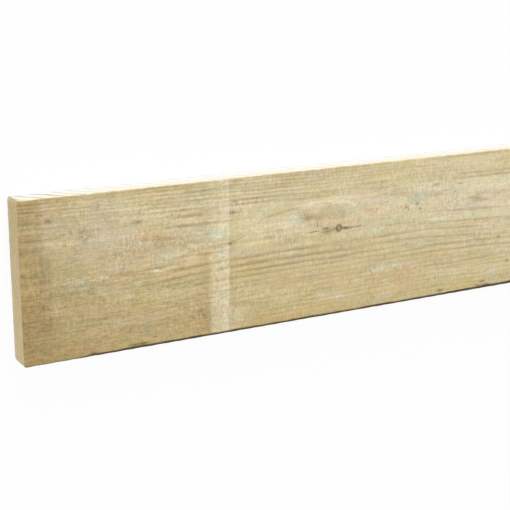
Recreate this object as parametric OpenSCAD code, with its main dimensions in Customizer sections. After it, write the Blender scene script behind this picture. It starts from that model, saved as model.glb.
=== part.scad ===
// Rough-sawn softwood plank, lying flat on one broad face.
// Its length runs along X, its width along Y and its thickness along Z.
// The origin is the middle of the underside.

/* [Plank] */
// Length between the two cross-cut ends, a standard sawn length
plank_length = 1800; // [600:50:4800]
// Width of the broad faces as sawn
plank_width = 150; // [75:1:250]
// Thickness between the broad faces as sawn
plank_thickness = 25; // [12:1:75]

/* [Edges] */
// Radius of the four long arrises, which handling has worn off
arris_radius = 0.8; // [0.2:0.1:5]
// Depth of the bevel that the cross-cut saw leaves round both ends
end_bevel = 0.5; // [0.1:0.1:3]

/* [Hidden] */
arris_facets = 32;
timber_colour = [0.76, 0.68, 0.51];

// Rectangle with round corners, centred on the origin
module round_rectangle(size_x, size_y, corner_radius) {
    square([size_x - 2 * corner_radius, size_y], center = true);
    square([size_x, size_y - 2 * corner_radius], center = true);
    for (side_x = [-1, 1], side_y = [-1, 1])
        translate([side_x * (size_x / 2 - corner_radius), side_y * (size_y / 2 - corner_radius)])
            circle(r = corner_radius, $fn = arris_facets);
}

// Outline seen from above or from the side, with its corners cut off by the end bevel
module bevelled_outline(size_x, size_y) {
    half_x = size_x / 2;
    half_y = size_y / 2;
    polygon([
        [-half_x, -half_y + end_bevel], [-half_x + end_bevel, -half_y],
        [half_x - end_bevel, -half_y], [half_x, -half_y + end_bevel],
        [half_x, half_y - end_bevel], [half_x - end_bevel, half_y],
        [-half_x + end_bevel, half_y], [-half_x, half_y - end_bevel]
    ]);
}

// The sawn section run along X for the plank's whole length
module sawn_bar() {
    rotate([90, 0, 90])
        linear_extrude(height = plank_length, center = true)
            round_rectangle(plank_width, plank_thickness, arris_radius);
}

// Block that takes the bevel off the end edges of the broad faces
module side_profile() {
    rotate([90, 0, 0])
        linear_extrude(height = plank_width, center = true)
            bevelled_outline(plank_length, plank_thickness);
}

// Block that takes the bevel off the end edges of the narrow faces
module top_profile() {
    linear_extrude(height = plank_thickness, center = true)
        bevelled_outline(plank_length, plank_width);
}

// One solid piece of timber, resting on z = 0
module plank() {
    color(timber_colour)
        translate([0, 0, plank_thickness / 2])
            intersection() {
                sawn_bar();
                side_profile();
                top_profile();
            }
}

plank();
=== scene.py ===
import math

import bmesh
import bpy
from mathutils import Matrix, Vector, noise


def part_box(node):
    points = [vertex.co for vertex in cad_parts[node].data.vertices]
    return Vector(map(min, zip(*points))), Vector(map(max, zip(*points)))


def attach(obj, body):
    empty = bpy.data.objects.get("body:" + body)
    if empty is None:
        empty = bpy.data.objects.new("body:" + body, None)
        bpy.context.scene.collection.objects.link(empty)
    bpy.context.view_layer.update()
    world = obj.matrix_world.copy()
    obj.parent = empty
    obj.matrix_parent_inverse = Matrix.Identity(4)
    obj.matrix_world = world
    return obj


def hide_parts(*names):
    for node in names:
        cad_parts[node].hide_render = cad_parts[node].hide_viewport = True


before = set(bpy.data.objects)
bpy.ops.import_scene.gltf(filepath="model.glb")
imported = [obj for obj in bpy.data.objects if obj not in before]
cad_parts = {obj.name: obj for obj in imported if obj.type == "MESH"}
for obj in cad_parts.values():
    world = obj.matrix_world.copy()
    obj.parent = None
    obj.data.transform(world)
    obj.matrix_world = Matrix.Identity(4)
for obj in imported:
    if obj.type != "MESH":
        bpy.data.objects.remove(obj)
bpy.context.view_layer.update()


# Plank: one length of softwood, sawn on all four sides and cross-cut square at both ends.
# Its faces stay rough from the saw, and stacking and handling have worn and torn its arrises.
# All places on it are in millimetres from the lower corner of its left end: along, across and up.
MM = 0.001
plank_low, plank_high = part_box("plank")
plank_long, plank_wide, plank_thick = (plank_high - plank_low) / MM

timber = bmesh.new()
bmesh.ops.create_cube(timber, size=1.0)
grid_cells = (600, 60, 10)
for axis, cells in enumerate(grid_cells):
    runs = [e for e in timber.edges if abs(e.verts[0].co[axis] - e.verts[1].co[axis]) > 0.5]
    bmesh.ops.subdivide_edges(timber, edges=runs, cuts=cells - 1, use_grid_fill=True)

# Each face remembers whether it lies on a narrow side or on an end.
outermost = 0.4999
narrow_face = timber.faces.layers.float.new("narrow_face")
end_face = timber.faces.layers.float.new("end_face")
for face in timber.faces:
    middle = face.calc_center_median()
    face[narrow_face] = 1.0 if abs(middle.y) > outermost else 0.0
    face[end_face] = 1.0 if abs(middle.x) > outermost else 0.0


def towards_edges(place, pull):
    """Moves a grid line at -0.5 to 0.5 towards the nearer edge, where the arris needs more lines."""
    return place + pull * math.sin(2 * math.pi * place) / (2 * math.pi)


# The grid line beside each end moves close to it, so that the end's edge stays crisp.
edge_pull = 0.65
end_line = 0.7
grid_step = plank_long / grid_cells[0]
same_line = 0.1
for vert in timber.verts:
    along = (vert.co.x + 0.5) * plank_long
    if abs(along - grid_step) < same_line:
        along = end_line
    if abs(along - plank_long + grid_step) < same_line:
        along = plank_long - end_line
    across = (towards_edges(vert.co.y, edge_pull) + 0.5) * plank_wide
    up = (towards_edges(vert.co.z, edge_pull) + 0.5) * plank_thick
    vert.co = (along, across, up)

# Drying checks by the small dead knot. Each line has a start and an end along, its height across at both,
# a half width and a strength of 0 to 1. A line is full at its core and fades out a little beyond its ends.
past_end = 1.3
line_core = 0.2
checks = [
    (291, 308, 87.8, 87.9, 1.2, 0.75), (308, 318, 89.3, 90.2, 1.6, 0.8), (331, 340, 88.2, 87.3, 2.0, 0.9),
    (338, 348, 87.3, 87.3, 1.2, 0.55), (345, 356.5, 87.2, 88.0, 1.3, 0.8),
    (300, 305, 102.5, 89.0, 4.5, 0.3)]
ring_knot = Vector((328.2, 88.5))
ring_knot_reach = 2.6


def finer(low, high, cuts):
    """Cuts the top face's grid finer between two corners, given as along and across."""
    zone = set()
    for face in timber.faces:
        at = face.calc_center_median()
        inside = low[0] < at.x < high[0] and low[1] < at.y < high[1]
        if inside and at.z > plank_thick / 2:
            zone.update(face.edges)
    bmesh.ops.subdivide_edges(timber, edges=list(zone), cuts=cuts, use_grid_fill=True)


checked_low, checked_high = (286, 81), (358, 104)
finer(checked_low, checked_high, cuts=4)

# Map for baking the material. The faces lie on it in strips, the upper one largest, to keep its marks
# sharp.
# Each side has its axis up the strip, the number of strips and their pixels to a millimetre.
bake_map = timber.loops.layers.uv.new("OFBake")
map_pixels, strip_gap = 1024, 4
strips = {"top": (1, 3, 1.65), "back": (2, 2, 1.0), "front": (2, 2, 1.0), "bottom": (1, 1, 0.5),
          "left": (2, 1, 1.0), "right": (2, 1, 1.0)}
strip_rows = {}
row = strip_gap
for side, (axis, pieces, scale) in strips.items():
    for piece in range(pieces):
        strip_rows[side, piece] = row
        row += (plank_wide if axis == 1 else plank_thick) * scale + strip_gap
for face in timber.faces:
    at = face.calc_center_median()
    reach = {"top": plank_thick - at.z, "bottom": at.z, "back": plank_wide - at.y, "front": at.y,
             "left": at.x, "right": plank_long - at.x}
    side = min(reach, key=reach.get)
    axis, pieces, scale = strips[side]
    run_axis = 1 if side in ("left", "right") else 0
    piece_long = plank_long / pieces
    piece = min(int(at.x / piece_long), pieces - 1)
    for loop in face.loops:
        place = loop.vert.co
        start = 0.0 if run_axis else piece * piece_long
        loop[bake_map].uv = ((strip_gap + (place[run_axis] - start) * scale) / map_pixels,
                             (strip_rows[side, piece] + place[axis] * scale) / map_pixels)


def rough(*place):
    """Smooth noise of about -1 to 1."""
    return noise.noise(Vector(place))


def fade(value, start, end):
    """0 at start, 1 at end, with a smooth run between them."""
    t = min(max((value - start) / (end - start), 0.0), 1.0)
    return t * t * (3 - 2 * t)


# Torn places on the two upper arrises: where along, half length, depth.
torn_front_arris = [
    (67, 6, 0.8), (96, 4, 0.6), (111, 9, 1.0), (128, 5, 0.5), (190, 9, 0.4), (300, 14, 0.5),
    (346, 12, 0.5), (458, 5, 0.7), (516, 6, 0.8), (620, 9, 1.2), (804, 6, 0.9), (1010, 12, 1.3),
    (1233, 7, 1.0), (1490, 10, 1.4)]
torn_back_arris = [
    (9, 5, 0.6), (38, 6, 0.4), (66, 8, 0.5), (104, 5, 0.6), (131, 6, 0.5), (158, 7, 0.6), (205, 6, 0.4),
    (248, 9, 0.6), (282, 6, 0.5), (352, 11, 1.0), (398, 6, 0.5), (431, 6, 0.5), (486, 8, 0.8),
    (515, 6, 0.7), (690, 8, 0.9), (930, 10, 1.1), (1180, 6, 0.8), (1455, 9, 1.0)]
worn_radius, slow_wear, quick_wear = 0.85, 0.35, 0.3
least_radius, most_radius = 0.4, 4.0


def arris_wear(along, across, up):
    """Radius that handling and the saw have left on the nearest long arris."""
    side = 7.0 * (across > plank_wide / 2) + 13.0 * (up > plank_thick / 2)
    radius = worn_radius + slow_wear * rough(along / 45, side, 0) + quick_wear * rough(along / 9, side, 3)
    if up > plank_thick / 2:
        for at, half, depth in torn_front_arris if across < plank_wide / 2 else torn_back_arris:
            here = 1 - fade(abs(along - at), 0.3 * half, half)
            radius += here * depth * (0.75 + 0.5 * rough(along / 2.5, 1.5, 0))
    return min(max(radius, least_radius), most_radius)


# Depths of the relief, all below the plain sawn faces.
face_depth, saw_wave_depth, torn_fibre_depth = 0.16, 0.10, 0.10
deepest_check, deepest_bark = 0.6, 0.45
edge_depth, kerf_depth, edge_fibre_depth = 0.2, 0.11, 0.07
kerf_pitch, kerf_lean = 17.0, 1.0
end_depth, end_fur_depth, end_hollow_depth = 0.4, 0.3, 0.12


def broad_relief(along, across, seed):
    """Depth below the sawn face: the band saw's slow waves and the torn fibres."""
    waves = saw_wave_depth * rough(along / 26, across / 70, seed)
    fibres = torn_fibre_depth * rough(along / 22, across / 2.7, seed + 4)
    return face_depth + waves + fibres


def check_depth(along, across):
    """Depth of the drying checks and of the bark ring round the dead knot."""
    deepest = 0.0
    for start, end, first, last, half, strength in checks:
        place = (2 * along - start - end) / (end - start)
        height = (first + last + place * (last - first)) / 2
        inside = math.hypot(place / past_end, (across - height) / half)
        deepest = max(deepest, strength * (1 - fade(inside, line_core, 1.0)))
    from_knot = (Vector((along, across)) - ring_knot).length
    bark = 1 - fade(abs(from_knot - ring_knot_reach), 0.3, 1.2)
    return max(deepest_check * deepest, deepest_bark * bark)


def narrow_relief(along, up, seed):
    """Depth below the narrow face: slanting marks of the circular saw."""
    turn = 2 * math.pi * (along - kerf_lean * up) / kerf_pitch
    kerf = math.sin(turn + 2.2 * rough(along / 30, up / 20, seed))
    return edge_depth + kerf_depth * kerf + edge_fibre_depth * rough(along / 14, up / 2.5, seed + 2)


# The arrises are rounded, the relief is pressed in, and the corners of the ends are blunted.
end_radius = 0.5
blunt_corner = 1.5
blunt_reach = 3.0
checks_from, checks_to = 280, 360
touching = 0.01
for vert in timber.verts:
    along, across, up = vert.co
    top = up > plank_thick - touching
    bottom = up < touching
    back = across > plank_wide - touching
    front = across < touching
    right = along > plank_long - touching
    left = along < touching
    wear = arris_wear(along, across, up)
    core = Vector((min(max(along, end_radius), plank_long - end_radius),
                   min(max(across, wear), plank_wide - wear),
                   min(max(up, wear), plank_thick - wear)))
    out = vert.co - core
    out.x *= wear / end_radius
    out = out.normalized() * wear
    out.x *= end_radius / wear
    place = core + out
    if top or bottom:
        depth = broad_relief(along, across, 0.0 if top else 30.0)
        if top and checks_from < along < checks_to:
            depth += check_depth(along, across)
        place.z += -depth if top else depth
    if back or front:
        depth = narrow_relief(along, up, 50.0 if back else 70.0)
        place.y += -depth if back else depth
    if left or right:
        seed = 90.0 if left else 95.0
        depth = end_depth + end_fur_depth * rough(across / 3.2, up / 3.2, seed)
        depth += end_hollow_depth * rough(across / 9, up / 9, seed)
        place.x += -depth if right else depth
    from_side = min(across, plank_wide - across)
    from_end = min(along, plank_long - along)
    if from_end < blunt_reach:
        blunt = blunt_corner * (1 - fade(from_side, 0, blunt_reach)) * (1 - from_end / blunt_reach)
        place.x += blunt if along < plank_long / 2 else -blunt
    vert.co = plank_low + place * MM

for face in timber.faces:
    face.smooth = True
bmesh.ops.recalc_face_normals(timber, faces=timber.faces)
plank_mesh = bpy.data.meshes.new("sawn_plank")
timber.to_mesh(plank_mesh)
timber.free()
sawn_plank = bpy.data.objects.new("sawn_plank", plank_mesh)
bpy.context.scene.collection.objects.link(sawn_plank)


class Field:
    """One value, vector or colour in a material's nodes. Arithmetic on it adds Math nodes."""

    def __init__(self, tree, socket=None):
        self.tree = tree
        self.socket = socket

    def node(self, kind, settings=None, sockets=None, output=0):
        """Adds a node, with its settings first and then the values or links of its sockets."""
        made = self.tree.nodes.new("ShaderNode" + kind)
        for name, value in (settings or {}).items():
            setattr(made, name, value)
        for name, value in (sockets or {}).items():
            if isinstance(value, Field):
                self.tree.links.new(value.socket, made.inputs[name])
            else:
                made.inputs[name].default_value = value
        return None if output is None else Field(self.tree, made.outputs[output])

    def maths(self, operation, one, two=0.0):
        """Adds a Math node on one or two values."""
        return self.node("Math", {"operation": operation}, {0: one, 1: two})

    def __add__(self, other):
        return self.maths("ADD", self, other)

    def __radd__(self, other):
        return self.maths("ADD", other, self)

    def __sub__(self, other):
        return self.maths("SUBTRACT", self, other)

    def __rsub__(self, other):
        return self.maths("SUBTRACT", other, self)

    def __mul__(self, other):
        return self.maths("MULTIPLY", self, other)

    def __rmul__(self, other):
        return self.maths("MULTIPLY", other, self)

    def __truediv__(self, other):
        return self.maths("DIVIDE", self, other)

    def most(self, other):
        """The larger of the two."""
        return self.maths("MAXIMUM", self, other)

    def size(self):
        """The value without its sign."""
        return self.maths("ABSOLUTE", self)

    def run(self, start, end, first=0.0, last=1.0):
        """A smooth run from first, where this is start, to last, where this is end."""
        return self.node("MapRange", {"interpolation_type": "SMOOTHSTEP", "clamp": False},
                         {"Value": self, "From Min": start, "From Max": end,
                          "To Min": first, "To Max": last})


def paint(red, green, blue):
    """A colour as it shows on a screen, 0 to 255, made linear for a shader."""
    def linear(level):
        level /= 255
        return level / 12.92 if level <= 0.04045 else ((level + 0.055) / 1.055) ** 2.4
    return (linear(red), linear(green), linear(blue), 1.0)


def stain(under, over, amount):
    """Lays a colour over another by an amount of 0 to 1."""
    return under.node("Mix", {"data_type": "RGBA"}, {0: amount, 6: under, 7: over}, output=2)


# The wood's material: rings and stains are laid over each other on places in the plank's millimetres.
# The marks up to about 560 mm along follow the photograph, and those beyond are made in the same manner.
rough_softwood = bpy.data.materials.new("rough_softwood")
rough_softwood.use_nodes = True
rough_softwood.node_tree.nodes.clear()
wood = Field(rough_softwood.node_tree)
object_place = wood.node("TexCoord", output="Object")
spot = wood.node("VectorMath", {"operation": "SUBTRACT"}, {0: object_place, 1: plank_low})
spot = wood.node("VectorMath", {"operation": "SCALE"}, {0: spot, "Scale": 1 / MM})
along = wood.node("SeparateXYZ", None, {0: spot}, output="X")
across = wood.node("SeparateXYZ", None, {0: spot}, output="Y")
up = wood.node("SeparateXYZ", None, {0: spot}, output="Z")
narrow = wood.node("Attribute", {"attribute_name": "narrow_face"}, output="Fac")
end_cut = wood.node("Attribute", {"attribute_name": "end_face"}, output="Fac")


# A noise node stays close to 0.5, so its swing is widened.
full_swing = 2.4


def mottle(long, wide, deep, seed, detail=2.0, roughness=0.5):
    """Noise of about -1 to 1 whose patches are that long, wide and deep in millimetres."""
    scaled = wood.node("Mapping", {"vector_type": "POINT"},
                       {"Vector": object_place, "Location": (seed, 3.1 * seed, 7.7 * seed),
                        "Scale": (1 / (long * MM), 1 / (wide * MM), 1 / (deep * MM))})
    made = wood.node("TexNoise", None, {"Vector": scaled, "Scale": 1.0, "Detail": detail,
                                        "Roughness": roughness})
    return (made - 0.5) * full_swing


# A small wander in all directions, which ragged spots share.
wobble = wood.node("Mapping", {"vector_type": "POINT"},
                   {"Vector": object_place, "Scale": (1 / (5 * MM), 1 / (3 * MM), 1 / (9 * MM))})
wobble = wood.node("TexNoise", None, {"Vector": wobble, "Scale": 1.0, "Detail": 2.0}, output="Color")
wobble = wood.node("VectorMath", {"operation": "SUBTRACT"}, {0: wobble, 1: (0.5, 0.5, 0.5)})


def stretched(aspect, shift=0.0):
    """Places on the face, with the length squeezed so that a round spot there runs along the grain."""
    places = wood.node("VectorMath", {"operation": "MULTIPLY"}, {0: spot, 1: (1 / aspect, 1.0, 0.0)})
    if shift:
        places = wood.node("VectorMath", {"operation": "MULTIPLY_ADD"},
                           {0: wobble, 1: (full_swing * shift, full_swing * shift, 0.0), 2: places})
    return places


def far_from(places, aspect, at, side):
    """Distance from a place along and across, measured across the grain."""
    return wood.node("VectorMath", {"operation": "DISTANCE"},
                     {0: places, 1: (at / aspect, side, 0.0)}, output="Value")


# A spot is full at its core and fades to its rim, both as shares of its reach.
spot_core, spot_rim = 0.15, 1.25


def spots(marks, aspect, shift):
    """Soft spots, each with a place along and across, a reach across and a strength."""
    places = stretched(aspect, shift)
    total = None
    for at, side, reach, strength in marks:
        far = far_from(places, aspect, at, side)
        one = far.run(spot_rim * reach, spot_core * reach, 0.0, strength)
        total = one if total is None else total.most(one)
    return total


def slope_of(line):
    """How far a line rises across for each millimetre along."""
    start, end, first, last = line[:4]
    return round((last - first) / (end - start), 2)


def lines_along(height_here, lines):
    """Soft lines near the grain, in the form of the checks' list."""
    total = None
    last_slope = None
    for line in sorted(lines, key=slope_of):
        start, end, first, last, half, strength = line
        slope = slope_of(line)
        if slope != last_slope:
            tilted = wood.node("CombineXYZ", None, {0: along, 1: height_here - along * slope})
            last_slope = slope
        at = (start + end) / 2
        side = (first + last) / 2 - slope * at
        reach = past_end * (end - start) / 2
        inside = wood.node("VectorMath", {"operation": "MULTIPLY_ADD"},
                           {0: tilted, 1: (1 / reach, 1 / half, 0.0), 2: (-at / reach, -side / half, 0.0)})
        far = wood.node("VectorMath", {"operation": "LENGTH"}, {0: inside}, output="Value")
        one = far.run(1.0, line_core, 0.0, strength)
        total = one if total is None else total.most(one)
    return total


# Only the upper face has the marks that the stack and the weather left.
upper = up.run(plank_thick - 6, plank_thick - 3) * (1 - narrow) * (1 - end_cut)

# Growth rings: the log's pith lies below the underside, and wide rings grew on its front side.
pith_across, pith_depth = 97.0, -15.0
first_ring, wide_ring, close_ring = 38.6, 3.9, 2.5
dip = along.run(40, 95, 0, 4.0) * along.run(190, 110) + along.run(430, 560, 0, 4.5) * along.run(900, 700)
grain_wave = mottle(130, 40, 40, 1.3) * 1.3 + mottle(34, 9, 9, 2.1) * 0.6 + mottle(8, 3, 3, 2.6) * 0.22
from_pith = across + grain_wave + dip * across.run(125, 75) - pith_across
depth_to_pith = up - pith_depth + along * 0.011 + mottle(260, 300, 300, 3.7) * 1.2
pith_distance = wood.maths("SQRT", from_pith * from_pith + depth_to_pith * depth_to_pith)
ring_width = from_pith.run(-14, 14, wide_ring, close_ring)
rings = (pith_distance - first_ring) / ring_width
# Knots part the rings. Each has a place along and across, a reach across, and how many rings it moves.
knots = [
    (205, 88, 6.0, -0.8), (498, 101, 10.0, -1.3), (111, 119, 4.0, -0.5), (742, 48, 13.0, -2.4),
    (968, 107, 11.0, -2.0), (1214, 61, 15.0, -2.8), (1420, 99, 10.0, -1.8), (1633, 38, 12.0, -2.2)]
knot_aspect = 2.4
grain_places = stretched(knot_aspect)
for at, side, reach, moved in knots:
    rings = rings + far_from(grain_places, knot_aspect, at, side).run(reach, 0, 0, moved)
ring_part = wood.maths("FRACT", rings)
latewood = ring_part.run(0.35, 0.86) * ring_part.run(1.0, 0.90)
latewood = latewood * mottle(45, 10, 10, 4.2, 3).run(-0.5, 0.5, 0.2, 1.0)
ring_lines = latewood
# The rings lie flat along the middle of the seen length, so few of them show there.
flat_grain = across.run(74, 80) * across.run(126, 120) * along.run(640, 560)
clear_grain = along.run(400, 460) * across.run(62, 52) + across.run(48, 54) * across.run(80, 74)
clear_grain = clear_grain + along.run(100, 150) * along.run(330, 270) * across.run(110, 120)
clear_grain = clear_grain + along.run(545, 660)
latewood = latewood * (1 - flat_grain * 0.7 + clear_grain * 0.4)

earlywood_colour = paint(213, 198, 158)
latewood_colour = paint(166, 142, 94)
timber_colour = wood.node("Mix", {"data_type": "RGBA"},
                          {0: latewood * 0.55, 6: earlywood_colour, 7: latewood_colour}, output=2)

# The face is browner towards the end and the front side, and paler further along and towards the back.
brown = (along + across + mottle(38, 24, 24, 5.5, 3) * 40).run(300, -80)
end_side_brown = paint(146, 121, 78)
timber_colour = stain(timber_colour, end_side_brown, brown)
end_strip = (along + mottle(6, 30, 30, 5.9) * 4).run(26, 17)
end_tan = paint(172, 146, 92)
timber_colour = stain(timber_colour, end_tan, end_strip * 0.5)
pale = (along * 0.4 + across * 0.7 + mottle(60, 30, 30, 6.0) * 25).run(140, 300)
far_side_cream = paint(226, 215, 184)
timber_colour = stain(timber_colour, far_side_cream, pale * 0.58)
lower_half = (across + mottle(120, 20, 20, 6.4) * 10).run(84, 62)
lower_tan = paint(196, 174, 122)
timber_colour = stain(timber_colour, lower_tan, lower_half * along.run(300, 500, 0.36, 0.22))
front_brown = (across + mottle(90, 14, 14, 6.1) * 9).run(30, 2)
front_tan = paint(190, 164, 104)
timber_colour = stain(timber_colour, front_tan, front_brown * along.run(300, 500, 0.4, 0.24))
# The back arris is painted browner as shade that dims the back lamp's light on it, with yellow beside it
# further on, and the face is browner at its front corner by the end.
back_arris_shade = (across + mottle(40, 6, 6, 6.6) * 2.5).run(142, 149)
arris_shade_tan = paint(178, 152, 98)
timber_colour = stain(timber_colour, arris_shade_tan, back_arris_shade * along.run(250, 430, 0.4, 0.15))
back_yellow = across.run(116, 132) * along.run(270, 330) * along.run(640, 560)
straw_yellow = paint(200, 176, 116)
timber_colour = stain(timber_colour, straw_yellow, back_yellow * 0.25)
front_corner = (along + across * 1.4 + mottle(20, 12, 12, 5.2, 2) * 14).run(110, 10)
corner_brown = paint(138, 114, 84)
timber_colour = stain(timber_colour, corner_brown, front_corner * 0.4)

# Patches of olive, tan and grey where treatment and weather took unevenly.
olive = mottle(34, 12, 12, 6.8, 3, 0.6).run(0.0, 0.7)
olive_green = paint(176, 170, 118)
timber_colour = stain(timber_colour, olive_green, olive * along.run(300, 450, 0.38, 0.3))
tan = mottle(46, 7, 9, 7.2, 3, 0.6).run(0.0, 0.7)
warm_tan = paint(204, 166, 116)
timber_colour = stain(timber_colour, warm_tan, tan * 0.38)
grey = mottle(24, 14, 14, 7.9, 3, 0.6).run(0.05, 0.7)
weather_grey = paint(172, 162, 142)
timber_colour = stain(timber_colour, weather_grey, grey * along.run(300, 450, 0.37, 0.26))

# Lath marks: laths lay across the stack here, so the face below them stayed pale.
lath_wobble = mottle(4, 9, 9, 11.6) * 0.8
lath_edge = (along + lath_wobble).run(206.2, 204.4)
lath_start = along + mottle(9, 20, 20, 11.9) * 1.5
lath_first = lath_start.run(181.5, 189) * (across + mottle(9, 9, 9, 12.4) * 5).run(115, 80, 0.55, 0.85)
lath_mark = lath_first.most(lath_start.run(186, 201)) * lath_edge
for lath_at in (800, 1400):
    lath_mark = lath_mark.most((along + lath_wobble - lath_at).size().run(9.5, 8.0) * 0.8)
sheltered_cream = paint(230, 219, 188)
timber_colour = stain(timber_colour, sheltered_cream, lath_mark * upper * 0.5)
# Dirt gathered against the lath's sides.
beside_lath = (along + mottle(5, 12, 12, 12.1) * 3).run(122, 175) * lath_edge * across.run(70, 30)
beside_lath = beside_lath * mottle(4, 5, 5, 12.3, 3, 0.6).run(-0.5, 0.6, 0.1, 1.0) * 0.4
lath_shade = (along + lath_wobble).run(168, 178) * (along + lath_wobble).run(216, 207)
lath_shade = lath_shade * across.run(142, 120)
beside_lath = (beside_lath + lath_shade * 0.12) * (1 - lath_mark)
lath_dirt = paint(152, 126, 82)
timber_colour = stain(timber_colour, lath_dirt, beside_lath * upper)

# Heartwood shows orange in the tongue of the rings, and here and there along the grain.
tints = [
    (120, 105, 5.0, 1.0), (138, 100, 4.5, 0.9), (100, 103, 3.0, 0.5), (108, 90, 4.0, 0.9),
    (84, 90, 3.4, 0.7), (400, 28, 12.0, 0.6), (440, 45, 8.0, 0.5), (372, 16, 6.0, 0.5),
    (76, 66.5, 2.4, 0.8), (98, 58.5, 2.4, 0.7), (112, 74, 2.4, 0.9), (68, 52, 2.2, 0.5),
    (128, 35, 3.0, 0.4), (262, 138, 4.0, 0.7), (278, 119, 3.0, 0.4), (213, 73, 2.2, 0.5),
    (214, 8, 3.0, 0.6), (239, 10, 2.6, 0.6), (317, 101, 5.0, 0.5), (343, 82, 3.4, 0.5),
    (365, 103, 3.0, 0.8), (404, 101, 3.0, 0.6), (372, 52.5, 2.4, 0.7), (440, 48, 4.0, 0.6),
    (449, 110, 4.0, 0.5), (400, 10, 2.6, 0.6), (505, 105, 4.0, 0.6), (540, 105, 3.4, 0.6),
    (542, 9, 3.0, 0.6), (320, 8, 3.0, 0.5), (300, 14, 3.0, 0.3), (182, 118, 4.0, 0.3),
    (150, 117, 3.0, 0.3)]
tint = spots(tints, aspect=3.6, shift=1.8)
tint = tint * mottle(14, 2.6, 4, 12.9, 2).run(-0.6, 0.4, 0.35, 1.0)
heartwood_orange = paint(202, 160, 106)
timber_colour = stain(timber_colour, heartwood_orange, tint * upper * 0.58)

# Darker lines of latewood that stand out along the upper face.
strong_grain = [
    (-5, 24, 82.4, 80.8, 2.0, 0.8), (-5, 36, 41.1, 41.1, 2.0, 0.75), (-5, 20, 104, 103.4, 2.0, 0.55),
    (-5, 30, 146.2, 145.6, 2.0, 0.7), (-5, 26, 130, 129, 2.2, 0.6), (-5, 46, 124.2, 123.8, 2.0, 0.5),
    (-5, 22, 116.6, 116, 2.0, 0.4), (-5, 20, 64.6, 64.4, 2.0, 0.5), (-5, 24, 54.3, 54.3, 2.0, 0.55),
    (-5, 18, 72.6, 72, 2.0, 0.45), (-5, 20, 20.2, 19.6, 2.0, 0.5), (-5, 22, 140.2, 139.6, 1.8, 0.45),
    (-5, 22, 134, 133.6, 1.8, 0.4), (84, 142, 71.0, 69.6, 2.2, 0.85), (132, 190, 69.8, 71.4, 2.2, 0.85),
    (188, 208, 71.3, 72.6, 2.0, 0.6), (188, 208, 63.6, 65.7, 2.0, 0.6), (188, 208, 53.4, 54.7, 1.8, 0.5),
    (58, 112, 77.2, 76, 1.8, 0.45), (62, 130, 66.5, 60.8, 2.0, 0.65), (120, 190, 60.6, 63.6, 2.0, 0.65),
    (76, 132, 55.6, 52, 1.8, 0.45), (124, 190, 52, 53.6, 1.8, 0.45), (120, 190, 57.2, 56.2, 1.6, 0.35),
    (112, 165, 39.6, 40.2, 1.8, 0.45), (44, 132, 35.2, 35.4, 1.8, 0.5), (88, 124, 22.6, 20.4, 2.0, 0.55),
    (96, 124, 18.4, 14.8, 1.8, 0.45), (140, 180, 119.4, 118.8, 2.3, 1.0),
    (130, 206, 111.6, 109.6, 2.3, 0.8), (98, 146, 116.2, 113.6, 2.0, 0.35),
    (118, 162, 102.6, 97.2, 2.4, 0.45), (70, 112, 90.6, 90, 2.1, 0.35), (106, 146, 90.4, 95.4, 2.1, 0.35),
    (146, 178, 80.2, 86.2, 3.2, 0.75), (166, 190, 81.4, 81.4, 2.8, 0.95), (176, 206, 85, 87.6, 4.2, 0.8),
    (191, 203, 81, 80.8, 2.0, 0.75), (222, 292, 88.4, 88.2, 2.2, 0.35), (262, 294, 84.8, 84.4, 2.0, 0.45),
    (206, 262, 72.6, 73.2, 2.0, 0.5), (256, 318, 73.2, 71.6, 2.0, 0.5), (312, 340, 71.6, 70.4, 2.0, 0.5),
    (334, 362, 70.4, 72.6, 2.0, 0.5), (206, 262, 65.8, 67, 2.2, 0.75), (256, 362, 66.6, 64.2, 2.2, 0.75),
    (206, 300, 59.4, 59.2, 1.8, 0.45), (296, 354, 58.8, 58.4, 2.0, 0.6),
    (206, 348, 54.8, 54.4, 1.8, 0.45), (206, 350, 50.1, 50.1, 1.6, 0.3), (206, 345, 41.2, 40.4, 1.6, 0.3),
    (250, 280, 36.6, 36.2, 1.8, 0.4), (206, 238, 27.2, 26.6, 2.0, 0.5), (270, 296, 16.6, 16.2, 1.8, 0.45),
    (302, 332, 12.4, 12, 1.8, 0.4), (336, 392, 21.6, 21.2, 1.8, 0.4), (203, 219, 117.6, 117, 2.2, 0.75),
    (206, 264, 128.5, 128.5, 1.8, 0.45), (180, 264, 124.2, 124.8, 1.8, 0.45),
    (236, 296, 107, 116.8, 1.7, 0.7), (138, 264, 142.2, 142, 1.8, 0.45), (138, 194, 132.2, 132, 2.0, 0.6),
    (138, 182, 126.2, 125.4, 2.0, 0.5), (138, 190, 146.2, 145.8, 1.8, 0.4),
    (298, 366, 144.2, 145.2, 2.0, 0.45), (334, 364, 148.8, 148, 2.6, 0.5),
    (334, 394, 130.3, 130, 2.2, 0.6), (358, 398, 124.6, 124, 2.0, 0.5), (356, 434, 74, 73.8, 1.8, 0.45),
    (356, 434, 68.2, 67, 2.5, 0.5), (428, 522, 74.8, 69.6, 2.0, 0.85), (430, 527, 66.2, 60.4, 2.1, 0.85),
    (400, 560, 58.8, 53.2, 2.0, 0.9), (424, 560, 81.2, 75.8, 2.0, 0.85), (430, 560, 93.4, 86.4, 2.1, 0.8),
    (360, 438, 85.8, 83.4, 2.0, 0.35), (436, 540, 41.2, 39.4, 1.8, 0.6), (424, 560, 36.2, 34.4, 1.8, 0.8),
    (440, 540, 31.4, 30, 1.8, 0.6), (430, 540, 51.4, 47.6, 1.8, 0.6), (468, 560, 128.8, 128.6, 2.0, 0.55),
    (468, 560, 124.4, 124, 2.0, 0.5), (418, 448, 141.6, 141.6, 2.0, 0.45),
    (438, 560, 148.2, 148, 2.2, 0.45)]
line_height = across + mottle(26, 300, 300, 21.0) * 0.5 + mottle(6, 300, 300, 21.4) * 0.3
grain_line = lines_along(line_height, strong_grain) * mottle(15, 5, 9, 21.8, 2).run(-0.6, 0.4, 0.45, 1.0)
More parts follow.
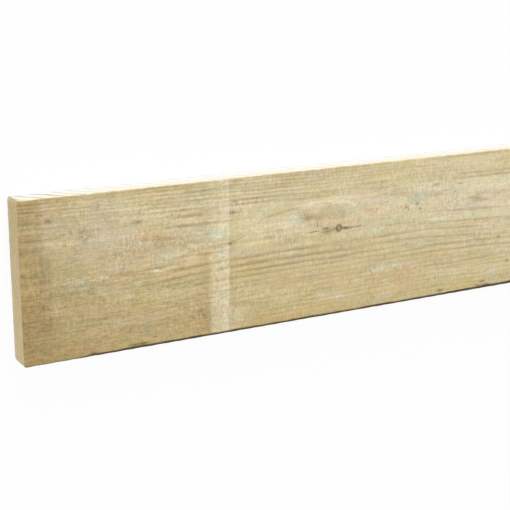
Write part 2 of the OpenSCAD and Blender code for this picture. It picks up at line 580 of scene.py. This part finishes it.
grain_brown = paint(138, 114, 72)
timber_colour = stain(timber_colour, grain_brown, grain_line * upper * 0.5)

# By the cut end the latewood took up more preservative, and shows as short dark lines.
end_lines = ring_lines * (along + mottle(30, 2.5, 9, 22.2, 2) * 16).run(34, 2)
end_line_brown = paint(130, 104, 62)
timber_colour = stain(timber_colour, end_line_brown, end_lines * upper * 0.5)

# Resin darkens the knots and the grain beside them.
resins = [
    (501, 99.6, 3.6, 0.6), (494, 102, 2.2, 0.5), (511, 98.4, 2.0, 0.5), (524, 99.8, 1.6, 0.35),
    (249, 89, 2.6, 0.45), (292, 103, 5.0, 0.6), (315, 87, 3.0, 0.6), (340, 87.5, 2.4, 0.6),
    (446, 120.5, 2.2, 0.6), (478, 119, 1.8, 0.7), (380, 130, 1.6, 0.4), (111, 119.3, 2.5, 1.0),
    (156, 110.3, 2.0, 0.5), (742, 48, 5.0, 0.9), (968, 107, 4.0, 0.9), (1214, 61, 6.0, 0.8),
    (1420, 99, 4.0, 0.9), (1633, 38, 5.0, 0.9)]
resin = spots(resins, aspect=2.8, shift=1.0)
resin_brown = paint(134, 110, 70)
timber_colour = stain(timber_colour, resin_brown, resin * upper * 0.6)

# Large knot: a round pink heart in a darker ring, hatched brown grain beside it and a pale arc above.
heart_at, heart_side, heart_aspect = 319.4, 98.2, 0.95
from_heart = far_from(stretched(heart_aspect, 0.8), heart_aspect, heart_at, heart_side)
above_check = across.run(86, 91) * upper
halo_grain = mottle(5, 3, 5, 13.9, 2).run(-0.6, 0.5, 0.3, 1.0)
halo = (from_heart - 14).size().run(6, 1) * halo_grain
halo_brown = paint(162, 142, 96)
timber_colour = stain(timber_colour, halo_brown, halo * above_check * 0.26)
heart_pink = paint(210, 184, 146)
timber_colour = stain(timber_colour, heart_pink, from_heart.run(9.5, 2.5) * above_check * 0.62)
heart_ring = (from_heart - 7.4).size().run(1.6, 0.2)
heart_ring_brown = paint(158, 132, 90)
timber_colour = stain(timber_colour, heart_ring_brown, heart_ring * above_check * 0.13)
hatched_places = [(292, 104, 11.0, 1.0), (302, 96, 8.0, 0.9), (322, 104, 14.0, 0.4)]
hatched = spots(hatched_places, aspect=1.1, shift=2.0)
hatch = wood.maths("SINE", from_heart * (2 * math.pi / 3.3) + mottle(9, 7, 7, 14.2, 2) * 2.6).run(0.0, 0.9)
hatch = hatch * mottle(5, 5, 5, 14.6, 2).run(-0.4, 0.3, 0.2, 1.0)
hatch_brown = paint(136, 112, 72)
timber_colour = stain(timber_colour, hatch_brown, hatched * hatch * upper * 0.46)
pale_arcs = [
    (280, 312, 115.6, 118.0, 2.2, 0.8), (306, 340, 118.0, 114.2, 2.2, 0.9),
    (336, 349, 114.2, 108.5, 2.2, 0.6)]
pale_arc = lines_along(line_height, pale_arcs)
arc_cream = paint(236, 224, 188)
timber_colour = stain(timber_colour, arc_cream, pale_arc * upper * 0.75)
pale_places = [(268, 96, 8.0, 0.8), (256, 101, 6.0, 0.6), (284, 93, 3.6, 1.0)]
pale_grain = spots(pale_places, aspect=2.2, shift=3.0)
pale_grain_cream = paint(226, 206, 170)
timber_colour = stain(timber_colour, pale_grain_cream, pale_grain * upper * 0.5)

# Preservative salts dried out in pale green blooms, white where they are thickest.
blooms = [
    (190, 98, 8.0, 1.0), (193, 96, 5.0, 1.0), (271, 108, 4.0, 0.8), (275, 105, 5.0, 0.9),
    (279, 101, 4.4, 0.9), (283, 96.6, 3.6, 0.8), (288, 94, 2.2, 0.6), (378, 40, 3.6, 1.0),
    (395, 41, 3.6, 1.0), (453, 84.2, 4.8, 1.0), (489, 84, 3.6, 0.9), (526, 18, 3.6, 1.0),
    (515, 18, 2.4, 0.8), (421, 112, 6.0, 0.9), (386, 112, 4.0, 0.6), (373, 80, 4.5, 0.7),
    (396, 90, 4.5, 0.4), (74, 72.6, 3.6, 1.0), (52, 71.5, 7.0, 0.55), (60, 65, 4.5, 0.5),
    (74, 59, 3.4, 0.5), (111, 62.4, 3.0, 0.6), (130, 72, 2.4, 0.8), (142, 84, 5.0, 0.7),
    (100, 50, 4.0, 0.4), (95, 28, 2.8, 0.45), (84, 31, 3.0, 0.4), (118, 21.5, 2.6, 0.6),
    (126, 39.6, 2.0, 0.6), (146, 40, 2.6, 0.6), (180, 128, 4.0, 0.6), (242, 116, 4.0, 0.6),
    (268, 24, 4.0, 0.5), (280, 26, 4.0, 0.5), (308, 22.5, 3.6, 0.6), (329, 19, 4.0, 0.6),
    (350, 31, 4.0, 0.5), (389, 27, 4.0, 0.6), (430, 61, 4.5, 0.5), (476, 60, 4.0, 0.4),
    (464, 18, 3.0, 0.5), (34, 125, 4.0, 0.2), (26, 110, 4.0, 0.2), (12, 122, 3.0, 0.4),
    (428, 45, 3.4, 0.4), (30, 47, 4.0, 0.3), (33, 57, 3.0, 0.4), (462, 112, 3.0, 0.4)]
bloom_grain = mottle(3.6, 2.2, 4, 14.8, 2, 0.6).run(-0.5, 0.35, 0.35, 1.0)
bloom = spots(blooms, aspect=2.2, shift=2.4)
unseen_bloom = mottle(40, 14, 14, 14.4, 3).run(0.55, 0.9) * along.run(540, 600)
bloom = bloom.most(unseen_bloom) * bloom_grain
salt_green = paint(198, 210, 184)
timber_colour = stain(timber_colour, salt_green, bloom * upper * 0.6)
bright_blooms = [(192, 96.6, 4.4, 1.0), (275, 105, 4.2, 0.6), (281.6, 97, 3.0, 0.4), (198, 79, 2.4, 0.6)]
bright_bloom = spots(bright_blooms, aspect=1.6, shift=1.6) * bloom_grain
bright_salt = paint(214, 224, 208)
timber_colour = stain(timber_colour, bright_salt, bright_bloom * upper * 0.6)
crusts = [
    (193, 95.6, 2.0, 1.0), (380, 40, 1.8, 0.8), (372, 39.5, 1.6, 0.6), (398, 41, 1.8, 0.9),
    (456, 83.6, 2.4, 1.0), (447, 84.6, 2.0, 0.8), (461, 82, 1.6, 0.9), (528, 18, 2.0, 1.0),
    (531, 14, 1.4, 0.7), (79, 72, 1.5, 1.0), (130, 71.8, 1.1, 0.9), (330, 18, 1.6, 0.6),
    (306, 24, 1.4, 0.6), (198, 79, 2.6, 0.7), (142, 84, 1.3, 0.4), (74, 59.4, 1.3, 0.2),
    (274.6, 105.2, 1.6, 0.35), (490, 83.5, 1.6, 0.5), (350, 32, 1.3, 0.6), (462, 111, 1.6, 0.6)]
crust = spots(crusts, aspect=3.6, shift=1.0) * bloom_grain
salt_white = paint(230, 234, 218)
timber_colour = stain(timber_colour, salt_white, crust * upper * 0.52)

# A washed-out grey patch lies behind the end, clean ones further on, and a dark band where a lath pressed.
washed_places = [(84, 112, 34.0, 1.0), (70, 138, 22.0, 0.7), (92, 88, 18.0, 0.8), (92, 62, 12.0, 0.8)]
washed = spots(washed_places, aspect=1.4, shift=6.0)
washed_grey = paint(206, 192, 164)
timber_colour = stain(timber_colour, washed_grey, washed * upper * 0.42)
clean_places = [(224, 139, 14.0, 0.6), (210, 14, 13.0, 1.3), (330, 118, 14.0, 0.8), (385, 12, 12.0, 0.7)]
clean = spots(clean_places, aspect=1.5, shift=6.0)
clean_cream = paint(224, 214, 188)
timber_colour = stain(timber_colour, clean_cream, clean * upper * 0.3)
dark_band = (along + mottle(9, 26, 26, 16.2) * 4 - 23).size().run(9, 2)
dark_band = dark_band * (across + mottle(30, 20, 20, 16.5) * 12).run(108, 84)
band_brown = paint(134, 114, 80)
timber_colour = stain(timber_colour, band_brown, dark_band * upper * 0.14)

# Smudges of yard dirt near the end, and specks where grit was pressed in.
smudges = [
    (28, 129.5, 5.0, 1.0), (62, 112, 9.0, 0.9), (72, 138, 7.0, 0.5), (46, 120, 10.0, 0.4),
    (22, 76, 8.0, 0.6), (38, 118, 8.0, 0.4), (84, 128, 9.0, 0.3), (54, 102, 6.0, 0.4), (20, 38, 9.0, 0.4),
    (24, 92, 6.0, 0.5)]
smudge_grain = mottle(3.2, 2.4, 4, 16.8, 3, 0.65).run(-0.4, 0.5, 0.15, 1.0)
smudge = spots(smudges, aspect=1.2, shift=3.0) * smudge_grain
yard_dirt = paint(126, 118, 102)
timber_colour = stain(timber_colour, yard_dirt, smudge * upper * 0.68)
specks = [
    (112, 119.2, 1.8, 0.5), (28.4, 129, 2.4, 0.7), (423.5, 103, 2.6, 1.0), (410, 100.5, 2.6, 0.9),
    (412.5, 98, 1.8, 0.8), (427.5, 97, 2.0, 0.9), (421, 112, 2.2, 0.6), (409, 104, 1.6, 0.6),
    (405, 91.5, 1.6, 0.5), (411, 62, 1.8, 0.8), (547, 27, 2.6, 1.0), (533, 55.5, 2.4, 0.7),
    (533, 72.5, 2.4, 0.5), (501, 77, 2.2, 0.6), (537, 106, 2.2, 0.6), (367, 40, 1.6, 0.5),
    (455, 52, 1.8, 0.4), (193, 46, 2.2, 0.6), (206, 88, 2.4, 1.0), (209, 117, 2.4, 0.8),
    (178, 21, 2.4, 0.8), (175, 27, 2.0, 0.6), (211, 127.6, 2.0, 0.8), (149, 37.5, 2.0, 0.7),
    (161, 48, 1.6, 0.5), (266, 46, 2.0, 0.6), (267, 29, 2.0, 0.5), (285, 21, 1.8, 0.6),
    (42, 106.6, 2.0, 0.8), (66, 50, 1.8, 0.5), (47, 17, 2.0, 0.5), (22, 135, 1.6, 0.6),
    (2, 104, 2.2, 0.6)]
speck = spots(specks, aspect=1.2, shift=0.6)
grit_brown = paint(100, 84, 58)
timber_colour = stain(timber_colour, grit_brown, speck * upper * 0.45)

# The small dead knot is a dark bark ring round a paler heart, in a grey lens of painted shade, with its
# drying checks painted dark as the shade inside them.
# The pin knot beside the lath's mark has a short tail.
check_shade_places = [(322, 88.4, 2.6, 1.0), (336, 87.8, 2.4, 0.9), (316, 86.6, 4.2, 0.6)]
lens = spots(check_shade_places, aspect=2.6, shift=0.6)
check_shade_grey = paint(130, 116, 88)
timber_colour = stain(timber_colour, check_shade_grey, lens * upper * 0.5)
tail = [(204, 224, 88.0, 94.0, 1.6, 0.4)]
check_line = across + mottle(7, 300, 300, 17.7) * 0.5
# The checks' dark lines are painted shade inside the cracks, and the pin knot's tail is drawn with them.
check_shade_and_tail = lines_along(check_line, checks + tail) * mottle(6, 300, 300, 18.2).run(-0.6, 0.3, 0.6, 1.0)
check_brown = paint(92, 74, 48)
timber_colour = stain(timber_colour, check_brown, check_shade_and_tail * upper * 0.8)
from_dead_knot = far_from(stretched(1.0, 0.4), 1.0, ring_knot.x, ring_knot.y)
dead_knot_tan = paint(178, 156, 116)
timber_colour = stain(timber_colour, dead_knot_tan, from_dead_knot.run(5.6, 2.0) * upper * 0.6)
bark_ring = (from_dead_knot - ring_knot_reach).size().run(2.5, 0.2)
bark_brown = paint(100, 82, 54)
timber_colour = stain(timber_colour, bark_brown, bark_ring * upper * 0.64)

# The front arris carries a dark line of painted contact shadow, and painted shade in dark flecks where its
# fibres are torn.
shaded_tears = [
    (66, 2.5, 1.6, 0.8), (106, 4.0, 2.2, 1.0), (115, 4.0, 2.4, 1.0), (127, 8.6, 1.0, 0.7),
    (190, 1.5, 1.4, 0.6), (458, 5.6, 2.0, 0.9), (514, 8.0, 1.6, 0.8), (518, 3.4, 2.4, 1.0),
    (508, 4.0, 1.6, 0.6), (620, 2.0, 2.0, 0.9), (804, 2.0, 1.6, 0.8), (1010, 2.5, 2.2, 0.9),
    (1233, 2.0, 1.6, 0.8), (1490, 2.5, 2.2, 0.9)]
shaded_tear = spots(shaded_tears, aspect=3.0, shift=0.8)
tear_shade_brown = paint(100, 78, 46)
timber_colour = stain(timber_colour, tear_shade_brown, shaded_tear * upper * 0.7)
# A dark line of painted contact shadow runs along the front arris.
contact_shadow_reach = along.run(10, 80, 1.1, 2.7) + along.run(430, 520, 0, 0.7) * along.run(900, 700)
painted_contact_shadow = (across / contact_shadow_reach + mottle(16, 3, 3, 20.8, 2) * 0.3).run(1.15, 0.75)
painted_contact_shadow = painted_contact_shadow * along.run(28, 76, 0.3, 1.0)
contact_shadow_brown = paint(66, 54, 40)
timber_colour = stain(timber_colour, contact_shadow_brown, painted_contact_shadow * 0.92)

# The saw leaves a fine furry surface: short fibres along the grain and faint lines across it.
fibres = mottle(11, 1.3, 1.3, 8.3, 2)
nap = mottle(2.4, 1.7, 1.7, 9.2, 2, 0.6)
tufts = mottle(8, 4.5, 4.5, 9.9, 2, 0.6)
saw_lines = mottle(1.9, 8, 8, 10.4, 2) * mottle(40, 30, 30, 11.0).run(-0.4, 0.5, 0.2, 1.0)
streaks = mottle(60, 3.2, 3.2, 10.8, 2) * 0.13 + mottle(110, 10, 10, 11.2, 2) * 0.18
fibre_share = along.run(230, 110) * across.run(75, 95, 0.22, 0.1) + along.run(380, 460, 0.08, 0.14)
fine_fuzz = fibres * fibre_share + (nap * 0.225 + saw_lines * 0.26) * along.run(140, 340, 1.28, 1.02)
fine_fuzz = fine_fuzz * mottle(30, 15, 15, 10.1, 2).run(-0.6, 0.6, 0.68, 1.25)
coarse_fuzz = (tufts * 0.12 + streaks) * along.run(220, 430, 1.05, 0.6) * across.run(60, 95, 0.75, 1.02)
fuzz = fine_fuzz + coarse_fuzz
# Warmer and cooler patches: the red and blue shares wander a little on their own.
warmth = mottle(32, 11, 11, 23.1, 3, 0.55) * 0.09
coolness = mottle(34, 12, 12, 23.7, 3, 0.55) * 0.17
shade = wood.node("CombineXYZ", None, {0: fuzz * 0.95 + warmth + 1.0, 1: fuzz + 1.0,
                                       2: fuzz * 1.16 + coolness + 1.0})
timber_colour = wood.node("VectorMath", {"operation": "MULTIPLY"}, {0: timber_colour, 1: shade})

# Narrow faces came off the circular saw pale and clean, with slanting kerf marks; their near-white colour
# is partly painted highlight. The front one is dirty.
kerf_turn = (along - up * kerf_lean) * (2 * math.pi / kerf_pitch)
kerf_wave = wood.maths("SINE", kerf_turn + mottle(30, 20, 20, 13.0) * 2.4)
kerf_shown = mottle(60, 30, 14, 13.4).run(-0.5, 0.5, 0.3, 0.9) + along.run(100, 30, 0, 0.9)
# Near white: the sawn face's own paleness with painted highlight on it.
sawn_and_highlight_white = paint(236, 234, 229)
narrow_colour = stain(timber_colour, sawn_and_highlight_white, 0.95)
near_face = up.run(plank_thick - 16, plank_thick - 2) * along.run(20, 200, 1.0, 0.75)
fresh_cut_cream = paint(240, 228, 199)
narrow_colour = stain(narrow_colour, fresh_cut_cream, near_face)
kerf_grey = paint(186, 178, 164)
narrow_colour = stain(narrow_colour, kerf_grey, kerf_wave.run(0.6, 1.0) * kerf_shown * 0.6)
front_side = across.run(90, 60)
dirty_patch = mottle(50, 40, 8, 22.4, 3, 0.6).run(-0.6, 0.5, 0.5, 1.0)
standing_dirt = paint(174, 148, 102)
narrow_colour = stain(narrow_colour, standing_dirt, front_side * dirty_patch * 0.88)
torn_edge = (up + mottle(7, 6, 3, 13.7, 2) * 2.2).run(plank_thick - 2.0, plank_thick - 0.6)
timber_colour = stain(timber_colour, narrow_colour, narrow * (1 - torn_edge * 0.75))

# Cross-cut ends are furry and mottled, browner at the back, greyer below and warmer by the upper face.
end_beige = paint(206, 188, 150)
end_colour = stain(timber_colour, end_beige, 0.76)
end_brown = paint(192, 173, 128)
end_colour = stain(end_colour, end_brown, across.run(95, 135) * 0.75)
end_grey = paint(210, 199, 176)
end_colour = stain(end_colour, end_grey, up.run(9, 0) * 0.5)
end_warm_tan = paint(200, 175, 130)
end_colour = stain(end_colour, end_warm_tan, up.run(14, 24) * 0.5)
end_fur = mottle(3, 2.8, 2.2, 25.1, 3, 0.65) * 0.2 + mottle(9, 6, 4, 25.6, 2) * 0.14
end_fur = end_fur + across.run(110, 0, 1.0, 1.09)
end_colour = wood.node("VectorMath", {"operation": "SCALE"}, {0: end_colour, "Scale": end_fur})
timber_colour = stain(timber_colour, end_colour, end_cut)

# The same fibres and saw lines stand up a little, and the dry wood has hardly any gloss.
fur_depth = 0.6 * MM
relief = fibres * 0.25 + nap * 0.4 + saw_lines * 0.25
bumped = wood.node("Bump", None, {"Strength": 0.5, "Distance": fur_depth, "Height": relief})
surface = wood.node("BsdfPrincipled", None, {"Base Color": timber_colour, "Roughness": 0.9,
                                             "Specular IOR Level": 0.2, "Normal": bumped})
wood.node("OutputMaterial", None, {"Surface": surface}, output=None)

plank_mesh.materials.append(rough_softwood)
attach(sawn_plank, "root")
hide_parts("plank")


# Floor: a plain white sheet that the plank lies on.
# It shows white and keeps the plank's soft shadow.
floor_half = 12.0
floor_sheet = bmesh.new()
bmesh.ops.create_grid(floor_sheet, x_segments=1, y_segments=1, size=floor_half)
floor_mesh = bpy.data.meshes.new("floor")
floor_sheet.to_mesh(floor_mesh)
floor_sheet.free()
floor = bpy.data.objects.new("floor", floor_mesh)
bpy.context.scene.collection.objects.link(floor)
white_sheet = bpy.data.materials.new("white_sheet")
white_sheet.use_nodes = True
white_sheet.node_tree.nodes.clear()
sheet = Field(white_sheet.node_tree)


def seen_directly(field):
    """1 for what the camera sees straight on, mirrored or through glass, and 0 for light that bounces."""
    total = None
    for way in ("Is Camera Ray", "Is Glossy Ray", "Is Transmission Ray"):
        ray = field.node("LightPath", output=way)
        total = ray if total is None else total.most(ray)
    return total


cool_white, pure_white = (0.90, 0.91, 0.93, 1.0), (1.0, 1.0, 1.0, 1.0)
glow_share = 0.92
lit = sheet.node("BsdfDiffuse", None, {"Color": cool_white})
glow = sheet.node("Emission", None, {"Color": pure_white, "Strength": 1.0})
shown = sheet.node("MixShader", None, {0: seen_directly(sheet) * glow_share, 1: lit, 2: glow})
sheet.node("OutputMaterial", None, {"Surface": shown}, output=None)
floor_mesh.materials.append(white_sheet)


# Light: a white room, a wide soft lamp above, a low one behind that brightens the back edge,
# and a soft one at the left that lights the cross-cut end.
room = bpy.data.worlds.new("room")
bpy.context.scene.world = room
room.use_nodes = True
room.node_tree.nodes.clear()
air = Field(room.node_tree)
room_light = 0.52
seen = seen_directly(air)
background = air.node("Background", None, {"Color": pure_white,
                                           "Strength": room_light + seen * (1 - room_light)})
air.node("OutputWorld", None, {"Surface": background}, output=None)


def soft_lamp(name, place, aim, size, power):
    """A round lamp at a place, turned to an aim, with its width in metres and its power in watts."""
    lamp = bpy.data.lights.new(name, "AREA")
    lamp.shape = "DISK"
    lamp.size = size
    lamp.energy = power
    lamp_object = bpy.data.objects.new(name, lamp)
    lamp_object.location = place
    lamp_object.rotation_euler = (Vector(aim) - Vector(place)).to_track_quat("-Z", "Y").to_euler()
    bpy.context.scene.collection.objects.link(lamp_object)


seen_middle, left_end = (-0.5, 0.0, 0.0), (-0.9, 0.0, 0.0)
soft_lamp("top_lamp", (-0.7, 0.5, 2.6), seen_middle, size=2.4, power=27.3)
soft_lamp("back_lamp", (-0.5, 2.6, 0.7), seen_middle, size=1.6, power=32.0)
soft_lamp("left_lamp", (-3.2, 0.2, 0.7), left_end, size=1.4, power=12.0)


# Camera: looks down on the plank's left part as the photograph does, with the rest out of view.
# Its place, aim, roll and lens follow the plank's edges there, taken as a plain pinhole view.
eye = Vector((-1.2241, 0.2994, 1.0064))
aim = Vector((-0.6671, -0.0017, 0.0250))
roll = math.radians(0.1686)
forward = (aim - eye).normalized()
level = forward.cross(Vector((0, 1, 0))).normalized()
upright = level.cross(forward)
side_way = level * math.cos(roll) + upright * math.sin(roll)
up_way = side_way.cross(forward)
view = bpy.data.cameras.new("view")
view.lens = 86.5
view.sensor_width = 36.0
view_object = bpy.data.objects.new("view", view)
turn = Matrix((side_way, up_way, -forward)).transposed().to_4x4()
view_object.matrix_world = Matrix.Translation(eye) @ turn
bpy.context.scene.collection.objects.link(view_object)
bpy.context.scene.camera = view_object
bpy.context.scene.view_settings.view_transform = "Standard"
